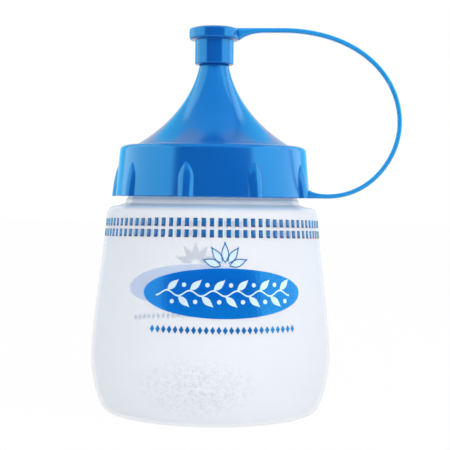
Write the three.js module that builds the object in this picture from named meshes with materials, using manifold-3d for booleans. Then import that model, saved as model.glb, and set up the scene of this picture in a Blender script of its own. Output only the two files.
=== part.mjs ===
// A squeeze bottle for sauce: a translucent bottle with a threaded neck, a screw lid that rises into
// a pouring nozzle, and a small tip cap that a flexible strap ties to the edge of the lid.
//
// Lengths are in millimetres. The origin is the centre of the foot, +Z is up, and the strap lies in
// the XZ plane, towards +X. Each radius is measured from the upright axis of the bottle.

import * as THREE from 'three';
import { mergeVertices } from 'three/addons/utils/BufferGeometryUtils.js';
import Module from 'manifold-3d';

// Fits
const clearance = 0.3;
const embed = 0.8;

// Bottle: foot, body and shoulder
const bottleWall = 1.1;
const footRecess = 0.6;
const footBevel = 0.8;
const footRingWidth = 4.2;
const heelRoundWidth = 4.8;
const heelLean = 1.2;
const heelHeight = 3.2;
const heelTuck = 2.8;
const bellyRadius = 43;
const bellyHeight = 19;
const shoulderHeight = 74.2;
const shoulderRoundWidth = 4;
const shoulderRoundHeight = 4.7;
const shoulderLedge = 2.8;

// Bottle: collar, neck and mouth
const collarRadius = 31.1;
const collarHeight = 2;
const collarStep = 0.7;
const neckHeight = 16.8;
const neckWall = 1.5;
const rimRound = 0.5;

// Lid: skirt, roof and the ring that centres the seal
const skirtLift = 2.5;
const skirtWall = 1.3;
const skirtTaper = 1.4;
const skirtDraft = 0.9;
const threadRoom = 1.8;
const roofThickness = 1.9;
const lidRoundWidth = 3.2;
const lidRoundHeight = 2.2;
const ringWall = 1.1;
const ringDepth = 3;
const ringGap = 0.4;
const sealThickness = 1.5;

// Lid: flare and nozzle
const flareBaseRadius = 27.3;
const flareStep = 0.4;
const flareHeight = 28.9;
const nozzleRootRadius = 5.2;
const nozzleTipRadius = 3.4;
const nozzleWall = 1.4;
const nozzleRound = 0.4;

// Lid: grip ribs
const ribCount = 9;
const ribWidth = 6.4;
const ribHeight = 12;
const ribDepth = 1.7;

// Tip cap
const capGap = 0.4;
const barrelRadius = 6.95;
const barrelHeight = 8.8;
const mouthRound = 0.6;
const flangeRadius = 9.07;
const flangeHeight = 4.4;
const flangeRound = 1.1;
const crownHeight = 0.3;
const capRoof = 1.9;
const pinRootRadius = 1.5;
const pinTipRadius = 1.2;
const pinLength = 3;

// Strap, with its roots on the lid and on the tip cap
const strapWidth = 3;
const strapThickness = 1.3;
const strapCorner = 0.6;
const strapReach = 66.5;
const strapReachRise = 26.2;
const lidRootLength = 6;
const lidRootHeight = 2.9;
const capRootLength = 9;
const capRootHeight = 4.2;
const strapRunIn = 6;

// Shares of the span that each curve's handles follow
const bellyUpShare = 0.25;
const bellyDownShare = 0.42;
const bodyTopDropShare = 0.31;
const bodyTopLeanShare = 0.24;
const heelRiseShare = 0.17;
const heelLeanShare = 0.4;
const flareTopShares = { radius: 0.108, height: 0.46 };
const flareBaseShares = { radius: 0.43, height: 0.197 };
const strapLowShares = { along: 0.62, up: 0.45 };
const strapHighShares = { along: 0.6, up: 0.56 };
const ribArchShare = 0.5;
const ribCrestShare = 0.42;
const ribTipShare = 0.12;
const rootShoulderShare = 0.35;

// How finely the round forms are divided
const bodySegments = 48;
const lidSegments = 54;
const capSegments = 36;
const bodySteps = 4;
const lidSteps = 6;
const capSteps = 3;
const ribLevels = 6;
const strapSteps = 38;

// Radii and heights that follow from the sizes above
const neckRadius = collarRadius - collarStep;
const neckBore = neckRadius - neckWall;
const shoulderRadius = collarRadius + shoulderLedge;
const bodyTopRadius = shoulderRadius + shoulderRoundWidth;
const heelRadius = bellyRadius - heelTuck;
const footRadius = heelRadius - heelRoundWidth;
const footRecessRadius = footRadius - footRingWidth;
const rimHeight = shoulderHeight + neckHeight;

// The lid's own heights start at the lower edge of its skirt
const lidHeight = shoulderHeight + skirtLift;
const sealBottom = rimHeight + clearance - lidHeight;
const ceiling = sealBottom + sealThickness + clearance;
const roofTop = ceiling + roofThickness;
const flareBase = roofTop + flareStep;
const flareTop = flareBase + flareHeight;
const skirtTopRadius = neckRadius + threadRoom + skirtWall;
const skirtRadius = skirtTopRadius + skirtTaper;
const skirtTop = roofTop - lidRoundHeight;
const ringRadius = neckBore - ringGap;

// The tip cap's own heights start at its mouth, which stands where the flare turns into the nozzle
const flangeTop = barrelHeight + flangeHeight;
const capCeiling = flangeTop - capRoof;
const nozzleTip = flareTop + capCeiling - clearance;

const wasm = await Module();
wasm.setup();

// A closed geometry as a solid that can be joined and cut
function solidOf(geometry) {
  geometry.deleteAttribute('normal');
  geometry.deleteAttribute('uv');
  const merged = mergeVertices(geometry);
  const corners = [];
  for (let i = 0; i < merged.index.count; i += 3) {
    const [a, b, c] = [0, 1, 2].map((k) => merged.index.getX(i + k));
    if (a !== b && b !== c && c !== a) corners.push(a, b, c);
  }
  return new wasm.Manifold(new wasm.Mesh({
    numProp: 3,
    vertProperties: merged.attributes.position.array,
    triVerts: Uint32Array.from(corners),
  }));
}

function geometryOf(solid) {
  const { vertProperties, triVerts } = solid.getMesh();
  const geometry = new THREE.BufferGeometry();
  geometry.setAttribute('position', new THREE.BufferAttribute(vertProperties, 3));
  geometry.setIndex(new THREE.BufferAttribute(triVerts, 1));
  geometry.computeVertexNormals();
  return geometry;
}

// An outline of radius and height, turned about the upright axis. It runs up the outside and down
// the inside, and either starts and ends on the axis or closes on itself.
function turned(points, segments) {
  return solidOf(new THREE.LatheGeometry(points, segments).rotateX(Math.PI / 2));
}

// A flat outline in the XZ plane, as thick as the strap is wide and centred on that plane
function strapWide(shape) {
  const geometry = new THREE.ExtrudeGeometry(shape, {
    depth: strapWidth,
    bevelEnabled: false,
    curveSegments: lidSteps,
  });
  return solidOf(geometry.translate(0, 0, -strapWidth / 2).rotateX(Math.PI / 2));
}

// The flank of the bottle from its foot to its shoulder, set in by the wall on its inner side
function bodyFlank(inset) {
  const heel = new THREE.Vector2(heelRadius - inset, heelHeight + inset / 2);
  const belly = new THREE.Vector2(bellyRadius - inset, bellyHeight);
  const top = new THREE.Vector2(bodyTopRadius - inset, shoulderHeight - shoulderRoundHeight);
  const rise = top.y - belly.y;
  const drop = belly.y - heel.y;
  const flank = new THREE.Path();
  flank.moveTo(footRadius, inset);
  flank.quadraticCurveTo(heel.x - heelLean, inset, heel.x, heel.y);
  flank.bezierCurveTo(
    heel.x + heelTuck * heelLeanShare, heel.y + drop * heelRiseShare,
    belly.x, belly.y - drop * bellyDownShare,
    belly.x, belly.y,
  );
  flank.bezierCurveTo(
    belly.x, belly.y + rise * bellyUpShare,
    top.x + (belly.x - top.x) * bodyTopLeanShare, top.y - rise * bodyTopDropShare,
    top.x, top.y,
  );
  flank.quadraticCurveTo(top.x, shoulderHeight - inset, shoulderRadius - inset, shoulderHeight - inset);
  return flank.getPoints(bodySteps);
}

// Foot ring round a shallow recess, round heel, belly, shoulder, collar and straight neck
function makeBottle() {
  const foot = new THREE.Path();
  foot.moveTo(0, footRecess);
  foot.lineTo(footRecessRadius - footBevel, footRecess);
  foot.lineTo(footRecessRadius, 0);

  const collarTop = shoulderHeight + collarHeight;
  const neck = new THREE.Path();
  neck.moveTo(collarRadius + rimRound, shoulderHeight);
  neck.quadraticCurveTo(collarRadius, shoulderHeight, collarRadius, shoulderHeight + rimRound);
  neck.lineTo(collarRadius, collarTop - collarStep);
  neck.lineTo(neckRadius, collarTop);
  neck.lineTo(neckRadius, rimHeight - rimRound);
  neck.quadraticCurveTo(neckRadius, rimHeight, neckRadius - rimRound, rimHeight);
  neck.lineTo(neckBore + rimRound, rimHeight);
  neck.quadraticCurveTo(neckBore, rimHeight, neckBore, rimHeight - rimRound);
  neck.lineTo(neckBore, shoulderHeight);
  neck.lineTo(neckBore + bottleWall, shoulderHeight - bottleWall);

  const floor = new THREE.Path();
  floor.moveTo(footRecessRadius, bottleWall);
  floor.lineTo(footRecessRadius - footBevel, bottleWall + footRecess);
  floor.lineTo(0, bottleWall + footRecess);

  return turned([
    ...foot.getPoints(),
    ...bodyFlank(0),
    ...neck.getPoints(2),
    ...bodyFlank(bottleWall).reverse(),
    ...floor.getPoints(),
  ], bodySegments);
}

// A soft flat ring that the lid presses onto the rim of the neck
function makeSeal() {
  const inner = ringRadius + clearance;
  const outer = neckRadius + threadRoom - clearance;
  const ring = new THREE.Path();
  ring.moveTo(inner, 0);
  ring.lineTo(outer, 0);
  ring.lineTo(outer, sealThickness);
  ring.lineTo(inner, sealThickness);
  ring.lineTo(inner, 0);
  return turned(ring.getPoints(), lidSegments);
}

// The hollow trumpet curve between the nozzle and the roof, run downwards or upwards
function flareTo(path, top, base, downwards) {
  const across = base.x - top.x;
  const rise = top.y - base.y;
  const topHandle = [top.x + across * flareTopShares.radius, top.y - rise * flareTopShares.height];
  const baseHandle = [base.x - across * flareBaseShares.radius, base.y + rise * flareBaseShares.height];
  if (downwards) path.bezierCurveTo(...topHandle, ...baseHandle, base.x, base.y);
  else path.bezierCurveTo(...baseHandle, ...topHandle, top.x, top.y);
}

// One moulded shell: skirt, rounded shoulder, flare and nozzle, with the ring that centres the seal
function lidShell() {
  const bore = nozzleTipRadius - nozzleWall;
  const shell = new THREE.Path();
  shell.moveTo(skirtRadius, 0);
  shell.lineTo(skirtTopRadius, skirtTop);
  shell.quadraticCurveTo(skirtTopRadius, roofTop, skirtTopRadius - lidRoundWidth, roofTop);
  shell.lineTo(flareBaseRadius + flareStep, roofTop);
  shell.lineTo(flareBaseRadius, flareBase);
  flareTo(
    shell,
    new THREE.Vector2(nozzleRootRadius, flareTop),
    new THREE.Vector2(flareBaseRadius, flareBase),
    false,
  );
  shell.lineTo(nozzleTipRadius, nozzleTip - nozzleRound);
  shell.lineTo(nozzleTipRadius - nozzleRound, nozzleTip);
  shell.lineTo(bore, nozzleTip);
  flareTo(
    shell.lineTo(nozzleRootRadius - nozzleWall, flareTop),
    new THREE.Vector2(nozzleRootRadius - nozzleWall, flareTop),
    new THREE.Vector2(ringRadius - ringWall, ceiling),
    true,
  );
  shell.lineTo(ringRadius - ringWall, ceiling - ringDepth);
  shell.lineTo(ringRadius, ceiling - ringDepth);
  shell.lineTo(ringRadius, ceiling);
  shell.lineTo(neckRadius + threadRoom, ceiling);
  shell.lineTo(neckRadius + threadRoom + skirtDraft, 0);
  shell.lineTo(skirtRadius, 0);
  return turned(shell.getPoints(lidSteps), lidSegments);
}

// A grip rib: flat crest and sloping flanks, full at the skirt's edge and dying away under an arch
function gripRib() {
  const positions = [];
  for (let level = 0; level < ribLevels; level += 1) {
    const share = level / (ribLevels - 1);
    const arch = Math.max(0, share - ribArchShare) / (1 - ribArchShare);
    const half = (ribWidth / 2) * (1 - arch * arch * (1 - ribTipShare));
    const crest = half * ribCrestShare;
    const surface = THREE.MathUtils.lerp(skirtRadius, skirtTopRadius, (ribHeight / skirtTop) * share);
    const stand = ribDepth * Math.sqrt(1 - share * share);
    const height = ribHeight * share;
    positions.push(
      surface - embed, -half, height,
      surface, -half, height,
      surface + stand, -crest, height,
      surface + stand, crest, height,
      surface, half, height,
      surface - embed, half, height,
    );
  }
  const ring = positions.length / (ribLevels * 3);
  const faces = [];
  for (let corner = 1; corner < ring - 1; corner += 1) {
    const last = (ribLevels - 1) * ring;
    faces.push(0, corner + 1, corner, last, last + corner, last + corner + 1);
  }
  for (let level = 0; level < ribLevels - 1; level += 1) {
    for (let corner = 0; corner < ring; corner += 1) {
      const a = level * ring + corner;
      const b = level * ring + ((corner + 1) % ring);
      faces.push(a, b, b + ring, a, b + ring, a + ring);
    }
  }
  const geometry = new THREE.BufferGeometry();
  geometry.setAttribute('position', new THREE.Float32BufferAttribute(positions, 3));
  geometry.setIndex(faces);
  return geometry;
}

// The strap's root on the lid: flush with the skirt's edge and thinning out to the strap
function lidRoot() {
  const start = skirtRadius - embed;
  const end = skirtRadius + lidRootLength;
  const root = new THREE.Shape();
  root.moveTo(start, 0);
  root.lineTo(end, 0);
  root.lineTo(end, strapThickness);
  root.quadraticCurveTo(skirtRadius + lidRootLength * rootShoulderShare, strapThickness,
    skirtRadius, lidRootHeight);
  root.lineTo(start, lidRootHeight);
  root.closePath();
  return strapWide(root);
}

function makeLid() {
  let lid = lidShell().add(lidRoot());
  for (let rib = 0; rib < ribCount; rib += 1) {
    const angle = ((rib + 0.5) / ribCount) * 2 * Math.PI;
    lid = lid.add(solidOf(gripRib().rotateZ(angle)));
  }
  return lid;
}

// Barrel and flange round a tapered socket, with a pin that plugs the bore of the nozzle
function capBody() {
  const body = new THREE.Path();
  body.moveTo(0, capCeiling - pinLength);
  body.lineTo(pinTipRadius, capCeiling - pinLength);
  body.lineTo(pinRootRadius, capCeiling);
  body.lineTo(nozzleTipRadius + capGap, capCeiling);
  body.lineTo(nozzleRootRadius + capGap, 0);
  body.lineTo(barrelRadius - mouthRound, 0);
  body.quadraticCurveTo(barrelRadius, 0, barrelRadius, mouthRound);
  body.lineTo(barrelRadius, barrelHeight);
  body.lineTo(flangeRadius - flangeRound, barrelHeight);
  body.quadraticCurveTo(flangeRadius, barrelHeight, flangeRadius, barrelHeight + flangeRound);
  body.lineTo(flangeRadius, flangeTop - flangeRound);
  body.quadraticCurveTo(flangeRadius, flangeTop, flangeRadius - flangeRound, flangeTop);
  body.quadraticCurveTo(flangeRadius / 2, flangeTop + crownHeight, 0, flangeTop + crownHeight);
  return turned(body.getPoints(capSteps), capSegments);
}

// The strap's root on the cap: flush with the flange's top, with a hollow gusset under it
function capRoot() {
  const start = flangeRadius - embed;
  const end = flangeRadius + capRootLength;
  const underside = flangeTop - strapThickness;
  const root = new THREE.Shape();
  root.moveTo(start, flangeTop - capRootHeight);
  root.lineTo(flangeRadius, flangeTop - capRootHeight);
  root.quadraticCurveTo(flangeRadius + capRootLength * rootShoulderShare, underside, end, underside);
  root.lineTo(end, flangeTop);
  root.lineTo(start, flangeTop);
  root.closePath();
  return strapWide(root);
}

function makeTipCap() {
  return capBody().add(capRoot());
}

// The strap's centre line leaves the lid along its edge, loops out and back, and meets the cap
function strapLine() {
  const low = strapThickness / 2;
  const high = flareTop + flangeTop - strapThickness / 2;
  const start = skirtRadius + lidRootLength + clearance;
  const end = flangeRadius + capRootLength + clearance;
  const outer = new THREE.Vector3(strapReach, low + strapReachRise, 0);
  const top = new THREE.Vector3(end + strapRunIn, high, 0);
  const lowAcross = outer.x - start;
  const lowRise = outer.y - low;
  const highAcross = outer.x - top.x;
  const highRise = high - outer.y;
  const line = new THREE.CurvePath();
  line.add(new THREE.CubicBezierCurve3(
    new THREE.Vector3(start, low, 0),
    new THREE.Vector3(start + lowAcross * strapLowShares.along, low, 0),
    new THREE.Vector3(outer.x, outer.y - lowRise * strapLowShares.up, 0),
    outer,
  ));
  line.add(new THREE.CubicBezierCurve3(
    outer,
    new THREE.Vector3(outer.x, outer.y + highRise * strapHighShares.up, 0),
    new THREE.Vector3(top.x + highAcross * strapHighShares.along, high, 0),
    top,
  ));
  line.add(new THREE.LineCurve3(top, new THREE.Vector3(end, high, 0)));
  return line;
}

// A flat band with rounded edges, bent along that line
function makeStrap() {
  const x = strapWidth / 2;
  const y = strapThickness / 2;
  const corner = Math.min(strapCorner, y);
  const section = new THREE.Shape();
  section.moveTo(-x + corner, -y);
  section.lineTo(x - corner, -y);
  section.quadraticCurveTo(x, -y, x, -y + corner);
  section.lineTo(x, y - corner);
  section.quadraticCurveTo(x, y, x - corner, y);
  section.lineTo(-x + corner, y);
  section.quadraticCurveTo(-x, y, -x, y - corner);
  section.lineTo(-x, -y + corner);
  section.quadraticCurveTo(-x, -y, -x + corner, -y);
  const band = new THREE.ExtrudeGeometry(section, {
    steps: strapSteps,
    extrudePath: strapLine(),
    curveSegments: 2,
  });
  return solidOf(band.rotateX(Math.PI / 2));
}

const bluePolypropylene = new THREE.MeshStandardMaterial({
  color: '#2b8ad8',
  roughness: 0.28,
  metalness: 0,
});
const clearPolypropylene = new THREE.MeshStandardMaterial({
  color: '#e3e7f4',
  roughness: 0.35,
  metalness: 0,
  transparent: true,
  opacity: 0.5,
});
const whiteSilicone = new THREE.MeshStandardMaterial({
  color: '#eceeee',
  roughness: 0.6,
  metalness: 0,
});

function piece(name, solid, material) {
  const mesh = new THREE.Mesh(geometryOf(solid), material);
  mesh.name = name;
  return mesh;
}

const bottle = piece('bottle', makeBottle(), clearPolypropylene);
const seal = piece('sealing_ring', makeSeal(), whiteSilicone);
const lid = piece('lid', makeLid(), bluePolypropylene);
const strap = piece('strap', makeStrap(), bluePolypropylene);
const tipCap = piece('tip_cap', makeTipCap(), bluePolypropylene);

seal.position.z = sealBottom;
tipCap.position.z = flareTop;

const closure = new THREE.Group();
closure.add(seal, lid, strap, tipCap);
closure.position.z = lidHeight;

const sauceBottle = new THREE.Group();
sauceBottle.add(bottle, closure);

export default sauceBottle;
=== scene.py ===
# Squeeze bottle for sauce: a translucent bottle under a blue screw lid that rises into a nozzle,
# and a tip cap that a strap ties to the lid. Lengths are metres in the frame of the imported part.
# +Z is up, the strap lies towards +X, and heights are measured from the surface under the bottle.

import math

import bpy
from mathutils import Matrix, Vector


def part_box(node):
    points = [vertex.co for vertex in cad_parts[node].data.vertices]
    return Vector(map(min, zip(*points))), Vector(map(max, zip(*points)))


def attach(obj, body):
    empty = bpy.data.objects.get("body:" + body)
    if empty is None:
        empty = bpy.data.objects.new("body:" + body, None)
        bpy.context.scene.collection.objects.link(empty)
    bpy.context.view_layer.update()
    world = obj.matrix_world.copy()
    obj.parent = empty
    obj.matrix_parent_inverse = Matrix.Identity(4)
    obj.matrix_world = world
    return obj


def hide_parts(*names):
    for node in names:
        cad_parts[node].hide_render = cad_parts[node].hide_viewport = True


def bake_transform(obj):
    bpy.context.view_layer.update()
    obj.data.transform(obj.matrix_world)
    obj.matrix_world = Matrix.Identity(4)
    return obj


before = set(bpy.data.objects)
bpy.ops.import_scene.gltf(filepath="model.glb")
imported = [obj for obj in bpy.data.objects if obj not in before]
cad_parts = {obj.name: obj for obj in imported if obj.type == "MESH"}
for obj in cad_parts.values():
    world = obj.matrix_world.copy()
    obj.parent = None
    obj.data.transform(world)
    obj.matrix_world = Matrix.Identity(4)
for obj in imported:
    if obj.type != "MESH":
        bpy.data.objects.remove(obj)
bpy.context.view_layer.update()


# Bottle
# One hollow blow moulding in natural polypropylene, milky but clear enough to see through. Its
# foot ring, wide belly, shoulder, collar and open neck are one wall, and the neck carries the lid.

MM = 0.001
FULL_TURN = 2 * math.pi

BELLY_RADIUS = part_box("bottle")[1].x
RIM_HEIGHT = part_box("bottle")[1].z
WALL = 1.1 * MM
FOOT_RADIUS = 35.4 * MM
FOOT_RECESS_RADIUS = 31.2 * MM
FOOT_RECESS = 0.6 * MM
FOOT_SLOPE = 3 * MM
HEEL_RADIUS = 39.6 * MM
HEEL_HEIGHT = 3.2 * MM
HEEL_SWEEP = 1.2 * MM
BELLY_HEIGHT = 19 * MM
BODY_TOP_RADIUS = 37.9 * MM
BODY_TOP_HEIGHT = 69.5 * MM
SHOULDER_RADIUS = 33.9 * MM
SHOULDER_HEIGHT = 74.2 * MM
LEDGE_DROP = 0.8 * MM
COLLAR_RADIUS = 31.1 * MM
COLLAR_HEIGHT = 1.5 * MM
NECK_RADIUS = 30.4 * MM
NECK_BORE = 28.9 * MM
BOTTLE_COLUMNS = 288
# How far the handles of the side's curves reach, as shares of the way across and of the way up
HEEL_PULL = (0.4, 0.17)
BELLY_PULL_DOWN = 0.36
BELLY_PULL_UP = 0.25
BODY_TOP_PULL = (0.24, 0.31)
# Heights above the shoulder of the wall that is painted with the lid's blue
# The ledge is no thicker; its blue is a painted reflection of the lid above it
PAINTED_REFLECTION_LEDGE = (-1.3 * MM, 0.1 * MM)
# The neck is thicker and milkier, and its blue is painted light bounced from the lid
THICK_PAINTED_BLUE_NECK_FROM = COLLAR_HEIGHT - 0.2 * MM
PATCH_AT = (-1 * MM, -41.5 * MM, 13.5 * MM)
PATCH_SIZE = (22 * MM, 16 * MM, 11 * MM)


def curve(handles, steps):
    """Points of the Bezier curve on these handles, all but the first."""
    made = []
    for step in range(1, steps + 1):
        level = [Vector(handle) for handle in handles]
        while len(level) > 1:
            level = [a.lerp(b, step / steps) for a, b in zip(level, level[1:])]
        made.append(level[0])
    return made


def rounded(corners, steps=4):
    """An outline through these corners, each a radius, a height and a rounding."""
    made = []
    for k, (radius, height, rounding) in enumerate(corners):
        at = Vector((radius, height))
        if not rounding:
            made.append(at)
            continue
        before = Vector(corners[k - 1][:2])
        after = Vector(corners[(k + 1) % len(corners)][:2])
        start = at + (before - at).normalized() * rounding
        end = at + (after - at).normalized() * rounding
        made += [start, *curve([start, at, end], steps)]
    return made


def start_from_point(name, at):
    """Adds a small plane, merges it to one corner at that place and leaves it in edit mode."""
    bpy.ops.object.select_all(action="DESELECT")
    bpy.ops.mesh.primitive_plane_add(size=MM, location=at)
    bpy.context.object.name = name
    bpy.ops.object.mode_set(mode="EDIT")
    bpy.ops.mesh.merge(type="CENTER")
    return bpy.context.object


def close_up(smooth_below=32):
    """Ends edit mode with one closed skin that faces outwards, smooth but for its real edges."""
    bpy.ops.mesh.select_all(action="SELECT")
    bpy.ops.mesh.remove_doubles(threshold=MM / 1000)
    bpy.ops.mesh.normals_make_consistent(inside=False)
    bpy.ops.object.mode_set(mode="OBJECT")
    bpy.ops.object.transform_apply(location=True, rotation=True, scale=True)
    bpy.ops.object.shade_smooth_by_angle(angle=math.radians(smooth_below))
    return bpy.context.object


def turned(name, outline, columns):
    """A shell turned about the upright axis, like a pot on a wheel."""
    start_from_point(name, (outline[0].x, 0, outline[0].y))
    for here, there in zip(outline, outline[1:]):
        step = there - here
        bpy.ops.mesh.extrude_region_move(TRANSFORM_OT_translate={"value": (step.x, 0, step.y)})
    bpy.ops.mesh.select_all(action="SELECT")
    bpy.ops.mesh.spin(steps=columns, angle=FULL_TURN, center=(0, 0, 0), axis=(0, 0, 1))
    return close_up()


def flank(inset):
    """The bottle's side from its foot to its shoulder, set in by the wall on its inner side."""
    foot = (FOOT_RADIUS, inset)
    heel = (HEEL_RADIUS - inset, HEEL_HEIGHT + inset / 2)
    belly = (BELLY_RADIUS - inset, BELLY_HEIGHT)
    top = (BODY_TOP_RADIUS - inset, BODY_TOP_HEIGHT)
    shoulder = (SHOULDER_RADIUS - inset, SHOULDER_HEIGHT - LEDGE_DROP - inset)
    tuck = belly[0] - heel[0]
    drop = belly[1] - heel[1]
    rise = top[1] - belly[1]
    lean = belly[0] - top[0]
    over_heel = (heel[0] + tuck * HEEL_PULL[0], heel[1] + drop * HEEL_PULL[1])
    under_belly = (belly[0], belly[1] - drop * BELLY_PULL_DOWN)
    over_belly = (belly[0], belly[1] + rise * BELLY_PULL_UP)
    under_top = (top[0] + lean * BODY_TOP_PULL[0], top[1] - rise * BODY_TOP_PULL[1])
    return [
        Vector(foot),
        *curve([foot, (heel[0] - HEEL_SWEEP, inset), heel], 8),
        *curve([heel, over_heel, under_belly, belly], 12),
        *curve([belly, over_belly, under_top, top], 20),
        *curve([top, (top[0], shoulder[1]), shoulder], 10),
    ]


def bottle_outline():
    """The wall's section, out and up from the middle of the base, and back down on the inside."""
    foot = rounded([
        (0, FOOT_RECESS, 0),
        (FOOT_RECESS_RADIUS - FOOT_SLOPE, FOOT_RECESS, 1 * MM),
        (FOOT_RECESS_RADIUS, 0, 1 * MM),
        (FOOT_RADIUS, 0, 0),
    ])[:-1]
    neck = rounded([
        (SHOULDER_RADIUS, SHOULDER_HEIGHT - LEDGE_DROP, 0),
        (COLLAR_RADIUS, SHOULDER_HEIGHT, 0.6 * MM),
        (COLLAR_RADIUS, SHOULDER_HEIGHT + COLLAR_HEIGHT, 0.35 * MM),
        (NECK_RADIUS, SHOULDER_HEIGHT + COLLAR_HEIGHT + 0.5 * MM, 0.4 * MM),
        (NECK_RADIUS, RIM_HEIGHT, 0.5 * MM),
        (NECK_BORE, RIM_HEIGHT, 0.5 * MM),
        (NECK_BORE, SHOULDER_HEIGHT, 0.5 * MM),
        (SHOULDER_RADIUS - WALL, SHOULDER_HEIGHT - LEDGE_DROP - WALL, 0),
    ])[1:-1]
    floor = rounded([
        (FOOT_RADIUS, WALL, 0),
        (FOOT_RECESS_RADIUS, WALL, 1 * MM),
        (FOOT_RECESS_RADIUS - FOOT_SLOPE, WALL + FOOT_RECESS, 1 * MM),
        (0, WALL + FOOT_RECESS, 0),
    ])[1:]
    return [*foot, *flank(0), *neck, *reversed(flank(WALL)), *floor]


def linear(code):
    """An sRGB hex colour as the linear one that a shader reads."""
    channels = [int(code[k:k + 2], 16) / 255 for k in (1, 3, 5)]
    return [*(c / 12.92 if c <= 0.04045 else ((c + 0.055) / 1.055) ** 2.4 for c in channels), 1]


def add_node(tree, kind, sockets, **settings):
    """Adds a node with its settings. Each socket takes a value, or a link from an output."""
    node = tree.nodes.new(kind)
    for name, value in settings.items():
        setattr(node, name, value)
    for name, value in sockets.items():
        if isinstance(value, bpy.types.NodeSocket):
            tree.links.new(value, node.inputs[name])
        else:
            node.inputs[name].default_value = value
    return node


def new_material(name):
    """An empty material's node tree and its principled shader."""
    material = bpy.data.materials.new(name)
    material.use_nodes = True
    return material, material.node_tree, material.node_tree.nodes["Principled BSDF"]


def blown_polypropylene(name, colour, cover):
    """Natural polypropylene, blow moulded: milky, softly glossy, with a slightly rippled wall."""
    material, tree, shader = new_material(name)
    # So thin a wall bends nothing that is seen through it, and each of its two faces hides a share
    shader.inputs["Alpha"].default_value = cover
    shader.inputs["IOR"].default_value = 1.49
    shader.inputs["Specular IOR Level"].default_value = 0.05
    place = add_node(tree, "ShaderNodeTexCoord", {}).outputs["Object"]
    # A frosted patch low on the front, where the mould is etched: speckles of about 1 mm
    near_patch = add_node(tree, "ShaderNodeMapping", {
        "Location": PATCH_AT, "Scale": PATCH_SIZE}, vector_type="TEXTURE")
    tree.links.new(place, near_patch.inputs["Vector"])
    inside = add_node(tree, "ShaderNodeTexGradient", {
        "Vector": near_patch.outputs["Vector"]}, gradient_type="SPHERICAL")
    grit = add_node(tree, "ShaderNodeTexNoise", {
        "Vector": place, "Scale": 0.7 / MM, "Detail": 2.0})
    speckle = add_node(tree, "ShaderNodeMapRange", {
        "Value": grit.outputs["Fac"], "From Min": 0.45, "From Max": 0.65})
    frost = add_node(tree, "ShaderNodeMath", {
        0: inside.outputs["Fac"], 1: speckle.outputs["Result"]}, operation="MULTIPLY")
    matt = add_node(tree, "ShaderNodeMapRange", {
        "Value": frost.outputs["Value"], "To Min": 0.35, "To Max": 0.65})
    tree.links.new(matt.outputs["Result"], shader.inputs["Roughness"])
    milk = add_node(tree, "ShaderNodeMix", {
        0: frost.outputs["Value"], 6: linear(colour), 7: linear("#C2CCD2")}, data_type="RGBA")
    tree.links.new(milk.outputs[2], shader.inputs["Base Color"])
    # The wall swells and thins over about 20 mm, as the blown tube cools against the mould
    ripple = add_node(tree, "ShaderNodeTexNoise", {
        "Vector": place, "Scale": 0.05 / MM, "Detail": 2.0})
    waves = add_node(tree, "ShaderNodeBump", {
        "Height": ripple.outputs["Fac"], "Strength": 0.25, "Distance": 0.4 * MM})
    grain = add_node(tree, "ShaderNodeBump", {
        "Height": frost.outputs["Value"], "Normal": waves.outputs["Normal"],
        "Strength": 0.08, "Distance": 0.12 * MM})
    tree.links.new(grain.outputs["Normal"], shader.inputs["Normal"])
    return material


# Where the wall is thicker it is milkier, and it is painted blue for light from the lid above it
thin_wall = blown_polypropylene("natural_polypropylene_blown_thin", "#F3F7FD", 0.29)
thick_wall_painted_lid_blue = blown_polypropylene("natural_polypropylene_blown_thick_painted_lid_blue", "#BDE2FF", 0.38)
bottle = turned("bottle_wall", bottle_outline(), BOTTLE_COLUMNS)
bottle.data.materials.append(thin_wall)
bottle.data.materials.append(thick_wall_painted_lid_blue)
for face in bottle.data.polygons:
    above = face.center.z - SHOULDER_HEIGHT
    # The neck and the ledge take the material painted with the lid's blue
    if above > THICK_PAINTED_BLUE_NECK_FROM or PAINTED_REFLECTION_LEDGE[0] < above < PAINTED_REFLECTION_LEDGE[1]:
        face.material_index = 1
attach(bottle, "bottle")
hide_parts("bottle")


# Neck thread
# A single screw thread, blown into the neck above the collar. The lid turns down along it.

THREAD_LEAD = 6 * MM
THREAD_TURNS = 1.25
THREAD_START = 79.6 * MM
THREAD_ROOT_WIDTH = 2.4 * MM
THREAD_CREST_SHARE = 0.42
THREAD_SUNK = 0.3 * MM
THREAD_STEPS_PER_TURN = 96
THREAD_RUN_OUT_STEPS = 12
NECK_THREAD_DEPTH = 1.2 * MM
# Corners nearer than this to a plane lie in it
CLOSE = 0.01 * MM


def small_face(name, size, at, rotation=(0, 0, 0)):
    """Adds a plane of that size at its place, to be drawn out along a path."""
    bpy.ops.object.select_all(action="DESELECT")
    bpy.ops.mesh.primitive_plane_add(size=1, rotation=rotation)
    face = bpy.context.object
    face.name = name
    face.scale = (*size, 1)
    face.location = at
    bpy.ops.object.transform_apply(location=True, rotation=True, scale=True)
    return face


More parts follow.
